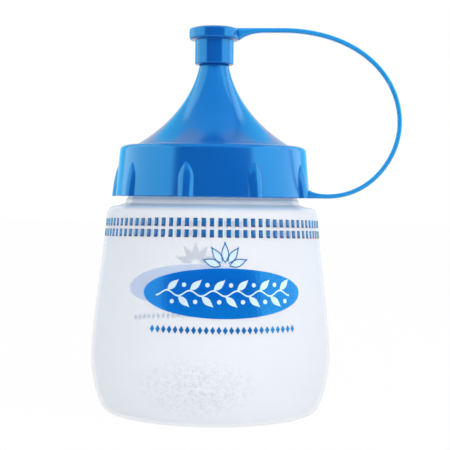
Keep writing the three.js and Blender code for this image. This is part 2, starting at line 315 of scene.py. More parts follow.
def thread(name, wall_radius, depth, start_height):
    """A ridge wound on a wall, outwards or, with a negative depth, inwards. Both ends fade out."""
    sunk = math.copysign(THREAD_SUNK, depth)
    root = (wall_radius + (depth - sunk) / 2, 0, start_height)
    ridge = small_face(name, (abs(depth + sunk), THREAD_ROOT_WIDTH), root, (math.pi / 2, 0, 0))
    crest = wall_radius + depth
    for corner in ridge.data.vertices:
        if abs(corner.co.x - crest) < CLOSE:
            corner.co.z = start_height + (corner.co.z - start_height) * THREAD_CREST_SHARE
    bpy.ops.object.mode_set(mode="EDIT")
    bpy.ops.mesh.select_all(action="SELECT")
    steps = round(THREAD_STEPS_PER_TURN * THREAD_TURNS)
    for step in range(steps):
        bpy.ops.mesh.extrude_region_move(
            TRANSFORM_OT_translate={"value": (0, 0, THREAD_LEAD / THREAD_STEPS_PER_TURN)})
        bpy.ops.transform.rotate(
            value=-FULL_TURN / THREAD_STEPS_PER_TURN, orient_axis="Z", center_override=(0, 0, 0))
    close_up()
    for corner in ridge.data.vertices:
        along = corner.index // 4
        share = min(along, steps - along) / THREAD_RUN_OUT_STEPS
        if share < 1:
            radius = math.hypot(corner.co.x, corner.co.y)
            stand = (radius - wall_radius) * math.sin(share * math.pi / 2)
            corner.co.xy *= (wall_radius - sunk * (1 - share) + stand) / radius
    return ridge


neck_thread = thread("neck_thread", NECK_RADIUS, NECK_THREAD_DEPTH, THREAD_START)
# The thread takes the neck's material, with its painted blue
neck_thread.data.materials.append(thick_wall_painted_lid_blue)
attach(neck_thread, "bottle")


# Printed bands
# Two rows of blue dashes round the top of the body, in screen-printed ink. The ink is a thin film
# that hugs the wall, and the rows at the back show through the bottle as a pale haze.

DASH_COUNT = 86
DASH_SHARE = 0.53
DASH_FIELDS = 3
DASH_ROWS = ((67.4 * MM, 70 * MM), (63.75 * MM, 66.35 * MM))
INK_THICKNESS = 0.04 * MM
INK_LIFT = 0.02 * MM
DASH_DROP = 2 * MM
# How far round from the front the camera stands; one dash faces it
CAMERA_TURN = math.radians(5.3)


def lay_on_bottle(film, lift):
    """Presses a film onto the bottle's wall, a little above it, and gives it its thickness."""
    press = film.modifiers.new("press", "SHRINKWRAP")
    press.target = bottle
    press.wrap_method = "NEAREST_SURFACEPOINT"
    press.wrap_mode = "ABOVE_SURFACE"
    press.offset = lift
    bpy.ops.object.modifier_apply(modifier=press.name)
    body = film.modifiers.new("body", "SOLIDIFY")
    body.thickness = INK_THICKNESS
    body.offset = 1
    bpy.ops.object.modifier_apply(modifier=body.name)


def screen_ink(name, colour, clear, sheen="#95FFFF"):
    """Screen-printed ink: a satin film, thin enough to let light through, with a faint mottle."""
    material, tree, shader = new_material(name)
    place = add_node(tree, "ShaderNodeTexCoord", {}).outputs["Object"]
    # Mottle of about 2 mm, from the mesh of the screen; a real one is finer than the render shows
    mottle = add_node(tree, "ShaderNodeTexNoise", {
        "Vector": place, "Scale": 0.5 / MM, "Detail": 3.0})
    shade = add_node(tree, "ShaderNodeMapRange", {
        "Value": mottle.outputs["Fac"], "From Min": 0.3, "From Max": 0.7,
        "To Min": 0.95, "To Max": 1.04})
    tint = add_node(tree, "ShaderNodeHueSaturation", {
        "Value": shade.outputs["Result"], "Color": linear(colour)})
    tree.links.new(tint.outputs["Color"], shader.inputs["Base Color"])
    shader.inputs["Transmission Weight"].default_value = clear
    shader.inputs["Roughness"].default_value = 0.2
    shader.inputs["IOR"].default_value = 1.5
    shader.inputs["Specular IOR Level"].default_value = 0.75
    shader.inputs["Specular Tint"].default_value = linear(sheen)
    return material


# The dashes' ink has a warm sheen, which greys them towards the sides
dash_ink = screen_ink("grey_blue_screen_ink", "#1092DB", 0.85, "#FFCC99")


def dash_row(name, low, high):
    """One printed dash, spun along the wall, then repeated all the way round."""
    film = start_from_point(name, (BELLY_RADIUS, 0, low))
    for level in range(DASH_FIELDS):
        bpy.ops.mesh.extrude_region_move(
            TRANSFORM_OT_translate={"value": (0, 0, (high - low) / DASH_FIELDS)})
    bpy.ops.mesh.select_all(action="SELECT")
    pitch = FULL_TURN / DASH_COUNT
    bpy.ops.mesh.spin(
        steps=DASH_FIELDS, angle=pitch * DASH_SHARE, center=(0, 0, 0), axis=(0, 0, 1))
    bpy.ops.mesh.select_all(action="SELECT")
    bpy.ops.mesh.spin(steps=DASH_COUNT - 1, dupli=True, angle=FULL_TURN - pitch,
                      center=(0, 0, 0), axis=(0, 0, 1))
    close_up()
    film.rotation_euler.z = CAMERA_TURN - math.pi / 2 + pitch * DASH_SHARE / 2
    bpy.ops.object.transform_apply(rotation=True)
    # The printed rows stand a little out of true, and are lowest at the back
    back_x, back_y = -math.sin(CAMERA_TURN), math.cos(CAMERA_TURN)
    for corner in film.data.vertices:
        depth = (corner.co.x * back_x + corner.co.y * back_y) / BELLY_RADIUS
        corner.co.z -= DASH_DROP * (1 + depth) / 2
    lay_on_bottle(film, INK_LIFT)
    film.data.materials.append(dash_ink)
    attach(film, "bottle")


for row, (low, high) in enumerate(DASH_ROWS, start=1):
    dash_row(f"printed_dashes_{row}", low, high)


# Printed badge
# A blue oval on the front and again on the back, with a pale garland of leaves across it, a fan of
# leaves on top and a row of small lozenges under it. Three screen inks, printed layer on layer.

PRINT_TURN = math.radians(11.8)
BADGE_HALF_WIDTH = 29 * MM
BADGE_HALF_HEIGHT = 8.4 * MM
BADGE_HEIGHT = 45.2 * MM
BADGE_CORNERS = 120
BACK_DROP = 2.9 * MM
BACK_TURN = math.radians(2.8)
LAYER = 0.03 * MM
PRINT_RADIUS = BELLY_RADIUS - 1.5 * MM
FIELD_WIDTH = 1.8 * MM
FIELD_HEIGHT = 3 * MM
FIELDS_ACROSS = 17
FIELDS_UP = 7
LEAF_CORNERS = 16
LEAF_FULLNESS = 0.8

blue_ink = screen_ink("blue_screen_ink", "#109EF8", 0.85)
pale_ink = screen_ink("pale_blue_screen_ink", "#CFE4F8", 0)
deep_ink = screen_ink("deep_blue_screen_ink", "#2A80CC", 0.5)


def flat_shape(corners):
    """Adds a flat shape in the XZ plane: a circle with that many corners, ready to be sized."""
    bpy.ops.object.select_all(action="DESELECT")
    bpy.ops.mesh.primitive_circle_add(
        vertices=corners, radius=1, fill_type="NGON", rotation=(math.pi / 2, 0, 0))
    bpy.ops.object.transform_apply(rotation=True)
    return bpy.context.object


def leaf(length, width, at, lean):
    """A pointed leaf that starts at a place and leans by an angle from the upright."""
    shape = flat_shape(LEAF_CORNERS)
    for corner in shape.data.vertices:
        height = (corner.co.z + 1) / 2
        corner.co.x *= width / 2 * math.sin(math.pi * height ** LEAF_FULLNESS)
        corner.co.z = height * length
    turn = Matrix.Rotation(lean, 4, "Y")
    shape.data.transform(Matrix.Translation((at[0], 0, at[1])) @ turn)
    return shape


def centred(count):
    """Numbers that are one apart, on both sides of zero."""
    return [k - (count - 1) / 2 for k in range(count)]


def pick(thing):
    """Selects one object alone."""
    bpy.ops.object.select_all(action="DESELECT")
    bpy.context.view_layer.objects.active = thing
    thing.select_set(True)


def joined(name, shapes):
    """Several flat shapes as one object."""
    pick(shapes[0])
    for shape in shapes[1:]:
        shape.select_set(True)
    if len(shapes) > 1:
        bpy.ops.object.join()
    shapes[0].name = name
    return shapes[0]


def wrap(film, turn, height, lift):
    """Bends flat artwork round the bottle and lays it on the wall."""
    pick(film)
    for corner in film.data.vertices:
        along = turn + corner.co.x / PRINT_RADIUS
        corner.co = (
            BELLY_RADIUS * math.sin(along), -BELLY_RADIUS * math.cos(along), height + corner.co.z)
    lay_on_bottle(film, lift)
    bpy.ops.object.mode_set(mode="EDIT")
    bpy.ops.mesh.select_all(action="SELECT")
    bpy.ops.mesh.normals_make_consistent(inside=False)
    bpy.ops.object.mode_set(mode="OBJECT")
    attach(film, "bottle")


def print_on(name, shapes, lift, ink, height):
    """Cuts flat artwork into fields that can bend, and prints it on the front and the back."""
    film = joined(name, shapes)
    bpy.ops.object.mode_set(mode="EDIT")
    for k in range(-FIELDS_ACROSS, FIELDS_ACROSS + 1):
        bpy.ops.mesh.select_all(action="SELECT")
        bpy.ops.mesh.bisect(plane_co=(k * FIELD_WIDTH, 0, 0), plane_no=(1, 0, 0))
    for k in range(-FIELDS_UP, FIELDS_UP + 1):
        bpy.ops.mesh.select_all(action="SELECT")
        bpy.ops.mesh.bisect(plane_co=(0, 0, k * FIELD_HEIGHT), plane_no=(0, 0, 1))
    bpy.ops.object.mode_set(mode="OBJECT")
    film.data.materials.append(ink)
    back = film.copy()
    back.data = film.data.copy()
    back.name = f"{name}_back"
    bpy.context.collection.objects.link(back)
    # Daylight passes through so thin a film to the wall, and the back print shows as a pale ghost
    back.visible_shadow = False
    wrap(film, PRINT_TURN, height, lift)
    wrap(back, PRINT_TURN + math.pi + BACK_TURN, height - BACK_DROP, lift)


oval = flat_shape(BADGE_CORNERS)
for corner in oval.data.vertices:
    corner.co.x *= BADGE_HALF_WIDTH
    corner.co.z *= BADGE_HALF_HEIGHT
print_on("printed_badge", [oval], INK_LIFT, blue_ink, BADGE_HEIGHT)


# Garland on the badge: a waving stem with a leaf at each crest and a berry across from it
GARLAND_LEAVES = 11
GARLAND_PITCH = 4 * MM
GARLAND_WAVE = 0.9 * MM
STEM_WIDTH = 0.55 * MM
LEAF_LENGTH = 5.6 * MM
LEAF_WIDTH = 2.3 * MM
LEAF_LEAN = math.radians(42)
BERRY_RADIUS = 0.75 * MM
BERRY_CORNERS = 14
STEM_STEPS = 8


def stem_height(x):
    """The height of the garland's wave, which crests or dips at each leaf."""
    return GARLAND_WAVE * math.sin(math.pi * (x / GARLAND_PITCH + (GARLAND_LEAVES % 4) / 2))


def stem():
    """A thin ribbon along the garland's wave."""
    count = (GARLAND_LEAVES + 1) * STEM_STEPS
    step = GARLAND_PITCH / STEM_STEPS
    x = -count * step / 2
    ribbon = start_from_point("stem", (x, 0, stem_height(x) - STEM_WIDTH / 2))
    for piece in range(count):
        rise = stem_height(x + step) - stem_height(x)
        bpy.ops.mesh.extrude_region_move(TRANSFORM_OT_translate={"value": (step, 0, rise)})
        x += step
    bpy.ops.mesh.select_all(action="SELECT")
    bpy.ops.mesh.extrude_region_move(TRANSFORM_OT_translate={"value": (0, 0, STEM_WIDTH)})
    bpy.ops.object.mode_set(mode="OBJECT")
    bpy.ops.object.transform_apply(location=True)
    return ribbon


garland = [stem()]
for place in centred(GARLAND_LEAVES):
    x = place * GARLAND_PITCH
    side = math.copysign(1, stem_height(x))
    lean = math.pi / 2 - side * LEAF_LEAN
    garland.append(leaf(LEAF_LENGTH, LEAF_WIDTH, (x, stem_height(x)), lean))
    berry = flat_shape(BERRY_CORNERS)
    at = Matrix.Translation((x + GARLAND_PITCH / 2, 0, -side * LEAF_LENGTH / 2))
    berry.data.transform(at @ Matrix.Scale(BERRY_RADIUS, 4))
    garland.append(berry)
print_on("printed_garland", garland, INK_LIFT + LAYER, pale_ink, BADGE_HEIGHT)


# Fan of pale leaves with a deeper blue edge, on top of the badge
FAN_LEAVES = 5
FAN_STEP = math.radians(36)
FAN_HUB = 1.2 * MM
FAN_LEAF_LENGTH = 7.4 * MM
FAN_LEAF_WIDTH = 2.9 * MM
FAN_EDGE = 0.35 * MM


def fan():
    """Leaves that spread from the badge's top."""
    leaves = []
    foot = BADGE_HALF_HEIGHT + FAN_EDGE
    for place in centred(FAN_LEAVES):
        lean = place * FAN_STEP
        at = (FAN_HUB * math.sin(lean), foot + FAN_HUB * math.cos(lean))
        leaves.append(leaf(FAN_LEAF_LENGTH, FAN_LEAF_WIDTH, at, lean))
    return leaves


def outlined(shapes):
    """The same shapes with all but a narrow edge taken out of each."""
    for shape in shapes:
        pick(shape)
        bpy.ops.object.mode_set(mode="EDIT")
        bpy.ops.mesh.select_all(action="SELECT")
        bpy.ops.mesh.inset(thickness=FAN_EDGE)
        bpy.ops.mesh.delete(type="FACE")
        bpy.ops.object.mode_set(mode="OBJECT")
    return shapes


print_on("printed_fan", fan(), INK_LIFT, pale_ink, BADGE_HEIGHT)
print_on("printed_fan_edges", outlined(fan()), INK_LIFT + LAYER, deep_ink, BADGE_HEIGHT)


# Row of lozenges under the badge
LOZENGE_COUNT = 25
LOZENGE_PITCH = 2.05 * MM
LOZENGE_HALF_WIDTH = 0.85 * MM
LOZENGE_HALF_HEIGHT = 1.35 * MM
LOZENGE_DROP = 12.2 * MM

lozenges = []
for place in centred(LOZENGE_COUNT):
    shape = flat_shape(4)
    at = Matrix.Translation((place * LOZENGE_PITCH, 0, 0))
    shape.data.transform(at @ Matrix.Diagonal((LOZENGE_HALF_WIDTH, 1, LOZENGE_HALF_HEIGHT, 1)))
    lozenges.append(shape)
print_on("printed_lozenges", lozenges, INK_LIFT, deep_ink, BADGE_HEIGHT - LOZENGE_DROP)


# Sealing ring
# A soft flat ring punched from white silicone, which the lid presses onto the rim of the neck.

SEAL_LOW, SEAL_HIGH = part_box("sealing_ring")
SEAL_INNER = 28.8 * MM
SEAL_CHAMFER = 0.2 * MM
SEAL_COLUMNS = 144


def punched_silicone():
    """White silicone, cut from sheet: matt, slightly waxy, with a fine dusty grain."""
    material, tree, shader = new_material("white_silicone_punched")
    shader.inputs["Base Color"].default_value = linear("#ECEEEE")
    shader.inputs["Roughness"].default_value = 0.6
    shader.inputs["IOR"].default_value = 1.41
    place = add_node(tree, "ShaderNodeTexCoord", {}).outputs["Object"]
    grain = add_node(tree, "ShaderNodeTexNoise", {
        "Vector": place, "Scale": 2.5 / MM, "Detail": 2.0})
    bump = add_node(tree, "ShaderNodeBump", {
        "Height": grain.outputs["Fac"], "Strength": 0.3, "Distance": 0.05 * MM})
    tree.links.new(bump.outputs["Normal"], shader.inputs["Normal"])
    return material


seal = turned("seal", rounded([
    (SEAL_INNER, SEAL_LOW.z, SEAL_CHAMFER),
    (SEAL_HIGH.x, SEAL_LOW.z, SEAL_CHAMFER),
    (SEAL_HIGH.x, SEAL_HIGH.z, SEAL_CHAMFER),
    (SEAL_INNER, SEAL_HIGH.z, SEAL_CHAMFER),
    (SEAL_INNER, SEAL_LOW.z + SEAL_CHAMFER, 0),
])[1:], SEAL_COLUMNS)
seal.data.materials.append(punched_silicone())
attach(seal, "sealing_ring")
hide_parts("sealing_ring")


# Lid
# One injection moulding in glossy blue polypropylene: skirt with nine grip ribs, round shoulder,
# roof, and a hollow flare like a trumpet's bell that narrows to the pouring nozzle.

LID_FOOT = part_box("lid")[0].z
NOZZLE_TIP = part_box("lid")[1].z
SKIRT_RADIUS = 34.9 * MM
SKIRT_TOP_RADIUS = 33.5 * MM
SKIRT_BORE = 33.1 * MM
SKIRT_TOP_BORE = 32.2 * MM
LID_ROUND_WIDTH = 3.2 * MM
LID_ROUND_HEIGHT = 2.2 * MM
ROOF_TOP = 95 * MM
CEILING = 93.1 * MM
RING_RADIUS = 28.5 * MM
RING_BORE = 27.4 * MM
RING_FOOT = 90.1 * MM
FLARE_RADIUS = 27.3 * MM
FLARE_BASE = 95.4 * MM
FLARE_TOP = 124.3 * MM
FLARE_STEP = 0.4 * MM
NOZZLE_ROOT_RADIUS = 5.2 * MM
NOZZLE_TIP_RADIUS = 3.4 * MM
NOZZLE_WALL = 1.4 * MM
LID_COLUMNS = 360
LID_SHARP_DEGREES = 30
FLARE_STEPS = 36
# How far the handles of the flare's curve reach, as shares of the way across and of the way up
FLARE_TOP_PULL = (0.108, 0.46)
FLARE_BASE_PULL = (0.43, 0.197)


def flare(top, base):
    """The trumpet curve from the roof up to the nozzle, from its base to its top."""
    across = base[0] - top[0]
    rise = top[1] - base[1]
    near_top = (top[0] + across * FLARE_TOP_PULL[0], top[1] - rise * FLARE_TOP_PULL[1])
    near_base = (base[0] - across * FLARE_BASE_PULL[0], base[1] + rise * FLARE_BASE_PULL[1])
    return curve([base, near_base, near_top, top], FLARE_STEPS)


def lid_outline():
    """The lid's section, up the outside from the skirt's edge and back down on the inside."""
    skirt = rounded([
        (SKIRT_BORE, LID_FOOT, 0),
        (SKIRT_RADIUS, LID_FOOT, 0.35 * MM),
        (SKIRT_TOP_RADIUS, ROOF_TOP - LID_ROUND_HEIGHT, 0),
    ])[1:]
    shoulder = curve([
        (SKIRT_TOP_RADIUS, ROOF_TOP - LID_ROUND_HEIGHT),
        (SKIRT_TOP_RADIUS, ROOF_TOP),
        (SKIRT_TOP_RADIUS - LID_ROUND_WIDTH, ROOF_TOP),
    ], 12)
    # The last corner only tells the one before it which way to round off
    ridge = rounded([
        (SKIRT_TOP_RADIUS - LID_ROUND_WIDTH, ROOF_TOP, 0),
        (FLARE_RADIUS + FLARE_STEP, ROOF_TOP, 0.25 * MM),
        (FLARE_RADIUS, FLARE_BASE, 0.15 * MM),
        (FLARE_RADIUS - 1 * MM, FLARE_BASE + 0.5 * MM, 0),
    ])[1:-1]
    throat = (NOZZLE_ROOT_RADIUS - NOZZLE_WALL, FLARE_TOP)
    nozzle = rounded([
        (NOZZLE_ROOT_RADIUS, FLARE_TOP, 0),
        (NOZZLE_TIP_RADIUS, NOZZLE_TIP, 0.4 * MM),
        (NOZZLE_TIP_RADIUS - NOZZLE_WALL, NOZZLE_TIP, 0.2 * MM),
        (*throat, 0),
    ])[1:]
    under = rounded([
        (RING_BORE, CEILING, 0),
        (RING_BORE, RING_FOOT, 0.3 * MM),
        (RING_RADIUS, RING_FOOT, 0.3 * MM),
        (RING_RADIUS, CEILING, 0.2 * MM),
        (SKIRT_TOP_BORE, CEILING, 0.5 * MM),
        (SKIRT_BORE, LID_FOOT, 0.3 * MM),
        (SKIRT_RADIUS, LID_FOOT, 0),
    ])[1:-1]
    return [
        *skirt,
        *shoulder,
        *ridge,
        *flare((NOZZLE_ROOT_RADIUS, FLARE_TOP), (FLARE_RADIUS, FLARE_BASE))[1:],
        *nozzle,
        *reversed(flare(throat, (RING_BORE, CEILING))[:-1]),
        Vector((RING_BORE, CEILING)),
        *under,
        skirt[0],
    ]


# Grip ribs
RIB_COUNT = 9
RIB_WIDTH = 6.4 * MM
RIB_HEIGHT = 12 * MM
RIB_DEPTH = 1.7 * MM
RIB_SUNK = 0.6 * MM
RIB_CREST_SHARE = 0.42
RIB_ROUND = 1.1 * MM
RIB_EDGE = 0.3 * MM
RIB_SHARP_DEGREES = 24
RIB_ARCH_SHARE = 0.5
RIB_TIP_SHARE = 0.12
RIB_TIP_STAND = 0.04
RIB_TIP_SUNK = 0.3 * MM
RIB_LEVELS = 16


def grip_ribs():
    """One rib, lofted up from its foot until it sinks into the skirt, and repeated all round."""
    middle = (SKIRT_RADIUS + (RIB_DEPTH - RIB_SUNK) / 2, 0, LID_FOOT)
    ribs = small_face("grip_ribs", (RIB_DEPTH + RIB_SUNK, RIB_WIDTH), middle)
    for part in (*ribs.data.polygons, *ribs.data.edges):
        part.select = False
    for corner in ribs.data.vertices:
        corner.select = corner.co.x > SKIRT_RADIUS
        if corner.select:
            corner.co.y *= RIB_CREST_SHARE
    bpy.ops.object.mode_set(mode="EDIT")
    bpy.ops.mesh.bevel(offset=RIB_ROUND, segments=4, affect="VERTICES")
    bpy.ops.mesh.select_all(action="SELECT")
    slope = (SKIRT_RADIUS - SKIRT_TOP_RADIUS) / (ROOF_TOP - LID_ROUND_HEIGHT - LID_FOOT)
    width, stand = 1, 1
    for level in range(1, RIB_LEVELS + 1):
        share = level / RIB_LEVELS
        arch = max(0, share - RIB_ARCH_SHARE) / (1 - RIB_ARCH_SHARE)
        new_width = 1 - arch * arch * (1 - RIB_TIP_SHARE)
        new_stand = max(RIB_TIP_STAND, math.sqrt(1 - share * share))
        rise = RIB_HEIGHT / RIB_LEVELS
        bpy.ops.mesh.extrude_region_move(
            TRANSFORM_OT_translate={"value": (-rise * slope, 0, rise)})
        height = LID_FOOT + RIB_HEIGHT * share
        sunk = SKIRT_RADIUS - slope * RIB_HEIGHT * share - RIB_TIP_SUNK
        bpy.ops.transform.resize(
            value=(new_stand / stand, new_width / width, 1), center_override=(sunk, 0, height))
        width, stand = new_width, new_stand
    close_up(RIB_SHARP_DEGREES)
    soften = ribs.modifiers.new("soften", "BEVEL")
    soften.width = RIB_EDGE
    soften.segments = 3
    soften.limit_method = "ANGLE"
    soften.angle_limit = math.radians(RIB_SHARP_DEGREES)
    bpy.ops.object.modifier_apply(modifier=soften.name)
    ribs.rotation_euler.z = FULL_TURN / RIB_COUNT / 2
    bpy.ops.object.transform_apply(rotation=True)
    bpy.ops.object.mode_set(mode="EDIT")
    bpy.ops.mesh.select_all(action="SELECT")
    bpy.ops.mesh.spin(steps=RIB_COUNT - 1, dupli=True, angle=FULL_TURN * (1 - 1 / RIB_COUNT),
                      center=(0, 0, 0), axis=(0, 0, 1))
    return close_up()


def fuse(body, part):
    """Moulds a part onto a body as one skin."""
    pick(body)
    union = body.modifiers.new("union", "BOOLEAN")
    union.operation = "UNION"
    union.solver = "EXACT"
    union.object = part
    bpy.ops.object.modifier_apply(modifier=union.name)
    bpy.data.objects.remove(part)
    bpy.ops.object.shade_smooth_by_angle(angle=math.radians(LID_SHARP_DEGREES))


def moulded_polypropylene(name, colour):
    """Blue polypropylene, moulded in a polished tool: glossy, with very slight orange peel."""
    material, tree, shader = new_material(name)
    shader.inputs["IOR"].default_value = 1.55
    shader.inputs["Specular IOR Level"].default_value = 0.75
    shader.inputs["Specular Tint"].default_value = linear("#95FFFF")
    place = add_node(tree, "ShaderNodeTexCoord", {}).outputs["Object"]
    # Pigment drifts by a shade over about 15 mm where the melt flowed
    flow = add_node(tree, "ShaderNodeTexNoise", {
        "Vector": place, "Scale": 0.07 / MM, "Detail": 2.0})
    shade = add_node(tree, "ShaderNodeMapRange", {
        "Value": flow.outputs["Fac"], "From Min": 0.3, "From Max": 0.7,
        "To Min": 0.97, "To Max": 1.03})
    tint = add_node(tree, "ShaderNodeHueSaturation", {
        "Value": shade.outputs["Result"], "Color": linear(colour)})
    tree.links.new(tint.outputs["Color"], shader.inputs["Base Color"])
    gloss = add_node(tree, "ShaderNodeMapRange", {
        "Value": flow.outputs["Fac"], "From Min": 0.3, "From Max": 0.7,
        "To Min": 0.15, "To Max": 0.2})
    tree.links.new(gloss.outputs["Result"], shader.inputs["Roughness"])
    # Orange peel of about 3 mm, barely deep enough to soften a reflection's edge
    peel = add_node(tree, "ShaderNodeTexNoise", {
        "Vector": place, "Scale": 0.35 / MM, "Detail": 1.0})
    bump = add_node(tree, "ShaderNodeBump", {
        "Height": peel.outputs["Fac"], "Strength": 0.08, "Distance": 0.1 * MM})
    tree.links.new(bump.outputs["Normal"], shader.inputs["Normal"])
    return material


blue_plastic = moulded_polypropylene("blue_polypropylene_injection_moulded", "#0858AC")
lid = turned("lid_shell", lid_outline(), LID_COLUMNS)
fuse(lid, grip_ribs())
lid.data.materials.append(blue_plastic)
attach(lid, "lid")
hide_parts("lid")

# Its thread, inside the skirt
LID_THREAD_RADIUS = SKIRT_TOP_BORE + 0.4 * MM
LID_THREAD_DEPTH = -1.2 * MM
LID_THREAD_START = 81.6 * MM

lid_thread = thread("lid_thread", LID_THREAD_RADIUS, LID_THREAD_DEPTH, LID_THREAD_START)
lid_thread.data.materials.append(blue_plastic)
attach(lid_thread, "lid")


# Tip cap
# The same blue moulding: a flange to push with a thumb, a barrel over the nozzle, and inside it a
# tapered socket with a pin that plugs the bore.

CAP_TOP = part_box("tip_cap")[1].z
CAP_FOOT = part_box("tip_cap")[0].z
CAP_GAP = 0.4 * MM
BARREL_RADIUS = 6.95 * MM
FLANGE_RADIUS = 9.07 * MM
FLANGE_FOOT = 133.1 * MM
FLANGE_TOP = 137.5 * MM
FLANGE_ROUND = 1.1 * MM
CAP_CEILING = 135.6 * MM
PIN_LENGTH = 3 * MM
PIN_TIP_RADIUS = 1.2 * MM
PIN_ROOT_RADIUS = 1.5 * MM
CAP_COLUMNS = 144


def cap_outline():
    """The cap's section, from the pin's tip round the socket and up to the middle of the top."""
    edge = (FLANGE_RADIUS - FLANGE_ROUND, FLANGE_TOP)
    return rounded([
        (0, CAP_CEILING - PIN_LENGTH, 0),
        (PIN_TIP_RADIUS, CAP_CEILING - PIN_LENGTH, 0.3 * MM),
        (PIN_ROOT_RADIUS, CAP_CEILING, 0.2 * MM),
        (NOZZLE_TIP_RADIUS + CAP_GAP, CAP_CEILING, 0.3 * MM),
        (NOZZLE_ROOT_RADIUS + CAP_GAP, CAP_FOOT, 0.25 * MM),
        (BARREL_RADIUS, CAP_FOOT, 0.6 * MM),
        (BARREL_RADIUS, FLANGE_FOOT, 0.3 * MM),
        (FLANGE_RADIUS, FLANGE_FOOT, FLANGE_ROUND),
        (FLANGE_RADIUS, FLANGE_TOP, FLANGE_ROUND),
    ], 6) + curve([edge, (FLANGE_RADIUS / 2, CAP_TOP), (0, CAP_TOP)], 10)


cap = turned("tip_cap_shell", cap_outline(), CAP_COLUMNS)
cap.data.materials.append(blue_plastic)
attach(cap, "tip_cap")
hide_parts("tip_cap")


# Strap
# A flat band, moulded with the lid and the cap, that flexes when the cap is pulled off. It leaves
# the skirt's lower edge from a short wedge and meets the flange over a curved gusset. It is in two
# halves that meet where it never bends.

STRAP_WIDTH = 3 * MM
STRAP_THICKNESS = 1.6 * MM
STRAP_CORNER = 0.72 * MM
STRAP_SHARP_DEGREES = 40
STRAP_REACH = 66.5 * MM
STRAP_REACH_HEIGHT = 103.55 * MM
LID_ROOT_LENGTH = 6.3 * MM
LID_ROOT_HEIGHT = 2.9 * MM
LID_ROOT_SUNK = 0.7 * MM
CAP_ROOT_LENGTH = 9 * MM
CAP_ROOT_HEIGHT = 4.2 * MM
CAP_ROOT_SUNK = 0.8 * MM
ROOT_PULL = 0.35
ROOT_STEPS = 10
STRAP_RUN_IN = 24.37 * MM
STRAP_STEPS = 36
# How far the handles of the strap's two curves reach, as shares of the way across or of the way up
LOW_PULL = 0.62
REACH_PULL_DOWN = 0.45
REACH_PULL_UP = 0.56
HIGH_PULL = 0.6


def strap_line():
    """The strap's middle line, from its root on the lid to its root on the cap."""
    low = LID_FOOT + STRAP_THICKNESS / 2
    high = FLANGE_TOP - STRAP_THICKNESS / 2
    start = (SKIRT_RADIUS + LID_ROOT_LENGTH, low)
    outer = (STRAP_REACH, STRAP_REACH_HEIGHT)
    top = (STRAP_RUN_IN, high)
    after_start = (start[0] + (outer[0] - start[0]) * LOW_PULL, low)
    under_outer = (outer[0], outer[1] - (outer[1] - low) * REACH_PULL_DOWN)
    over_outer = (outer[0], outer[1] + (high - outer[1]) * REACH_PULL_UP)
    before_top = (top[0] + (outer[0] - top[0]) * HIGH_PULL, high)
    return [
        Vector(start),
        *curve([start, after_start, under_outer, outer], STRAP_STEPS),
        *curve([outer, over_outer, before_top, top], STRAP_STEPS),
        Vector((FLANGE_RADIUS + CAP_ROOT_LENGTH, high)),
    ]


def grow_root(wall, length, height, sunk, flush):
    """Draws the selected end of the band on into a wall, ever thicker, with one side flush."""
    reach, thickness = wall + length, STRAP_THICKNESS
    outline = [(reach, thickness), (wall + length * ROOT_PULL, thickness), (wall, height)]
    for there in [*curve(outline, ROOT_STEPS), Vector((wall - sunk, height))]:
        bpy.ops.mesh.extrude_region_move(
            TRANSFORM_OT_translate={"value": (there.x - reach, 0, 0)})
        bpy.ops.transform.resize(
            value=(1, 1, there.y / thickness), center_override=(there.x, 0, flush))
        reach, thickness = there


def strap_band():
    """A small face with round corners, drawn along the strap's line and grown into both roots."""
    line = strap_line()
    band = small_face("strap", (STRAP_THICKNESS, STRAP_WIDTH), (line[0].x, 0, line[0].y),
                      (0, math.pi / 2, 0))
    bpy.ops.object.mode_set(mode="EDIT")
    bpy.ops.mesh.select_all(action="SELECT")
    bpy.ops.mesh.bevel(offset=STRAP_CORNER, segments=4, affect="VERTICES")
    bpy.ops.mesh.select_all(action="SELECT")
    heading = 0
    for k, (here, there) in enumerate(zip(line, line[1:])):
        step = there - here
        bpy.ops.mesh.extrude_region_move(TRANSFORM_OT_translate={"value": (step.x, 0, step.y)})
        beyond = line[k + 2] - there if k + 2 < len(line) else step
        new_heading = math.atan2(step.y + beyond.y, step.x + beyond.x) % FULL_TURN
        bpy.ops.transform.rotate(
            value=new_heading - heading, orient_axis="Y", center_override=(there.x, 0, there.y))
        heading = new_heading
    # The root on the cap keeps its top flush with the flange and grows downwards
    grow_root(FLANGE_RADIUS, CAP_ROOT_LENGTH, CAP_ROOT_HEIGHT, CAP_ROOT_SUNK, FLANGE_TOP)
    # The root on the lid keeps its underside flush with the skirt's edge and grows upwards
    bpy.ops.object.mode_set(mode="OBJECT")
    for corner in band.data.vertices:
        at_start = abs(corner.co.x - line[0].x) < CLOSE
        corner.select = at_start and corner.co.z < STRAP_REACH_HEIGHT
    for edge in band.data.edges:
        edge.select = False
    for face in band.data.polygons:
        face.select = all(band.data.vertices[k].select for k in face.vertices)
    bpy.ops.object.mode_set(mode="EDIT")
    grow_root(SKIRT_RADIUS, LID_ROOT_LENGTH, LID_ROOT_HEIGHT, LID_ROOT_SUNK, LID_FOOT)
    return close_up(STRAP_SHARP_DEGREES)


# The band is painted a shade lighter than the lid, for light that glows through so thin a band
glow_painted_blue_plastic = moulded_polypropylene("blue_polypropylene_thin_band_painted_glow", "#208AD2")

CUT_AT = (63 * MM, 118 * MM)
CUT_ALONG = (-0.45, 0.89)


